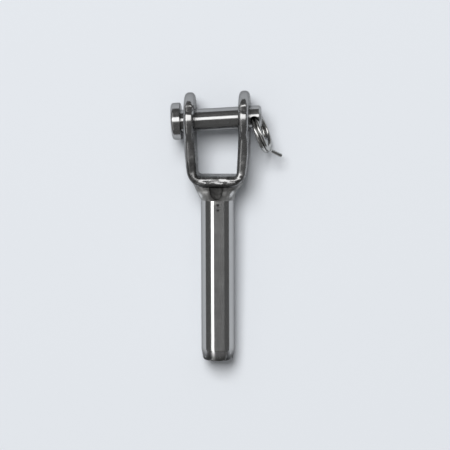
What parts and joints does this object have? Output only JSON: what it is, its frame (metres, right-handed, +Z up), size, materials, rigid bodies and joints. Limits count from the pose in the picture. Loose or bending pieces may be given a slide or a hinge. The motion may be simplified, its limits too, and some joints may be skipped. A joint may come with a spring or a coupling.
{
  "type": "rigging_fork_terminal",
  "caption": "Stainless steel rigging fork terminal: bent fork welded to a round bored barrel, clevis pin with split ring",
  "frame": {"origin": "middle of the clevis jaw on the pin's axis", "axes": "+X across the jaw toward the pin's plain end and its split ring, +Y from the barrel toward the ear tips along the table, +Z up from the table"},
  "size_m": [0.0299, 0.0734, 0.0148],
  "materials": {
    "yoke_steel": "polished stainless steel, lightly scuffed",
    "barrel_steel": "polished stainless steel, fine turning lines, scuffed round the mouth",
    "weld_steel": "ground and polished weld with small pits",
    "pin_steel": "polished stainless steel",
    "ring_steel": "bright round wire"
  },
  "bodies": {
    "fork": {"fork_yoke": "yoke_steel", "swage_barrel": "barrel_steel", "weld_bead": "weld_steel"},
    "pin": {"clevis_pin": "pin_steel"},
    "ring": {"split_ring": "ring_steel"}
  },
  "joints": [
    {"name": "pin_turn", "type": "hinge", "parent": "fork", "child": "pin", "pos_m": [0, 0, 0], "axis": [0.9981, 0.061, 0.0028], "continuous": true},
    {"name": "ring_swing", "type": "hinge", "parent": "pin", "child": "ring", "pos_m": [0.01013, 0.00062, 0.00003], "axis": [0.0178, -0.3355, 0.9419], "range_deg": [-14, 158]}
  ]
}
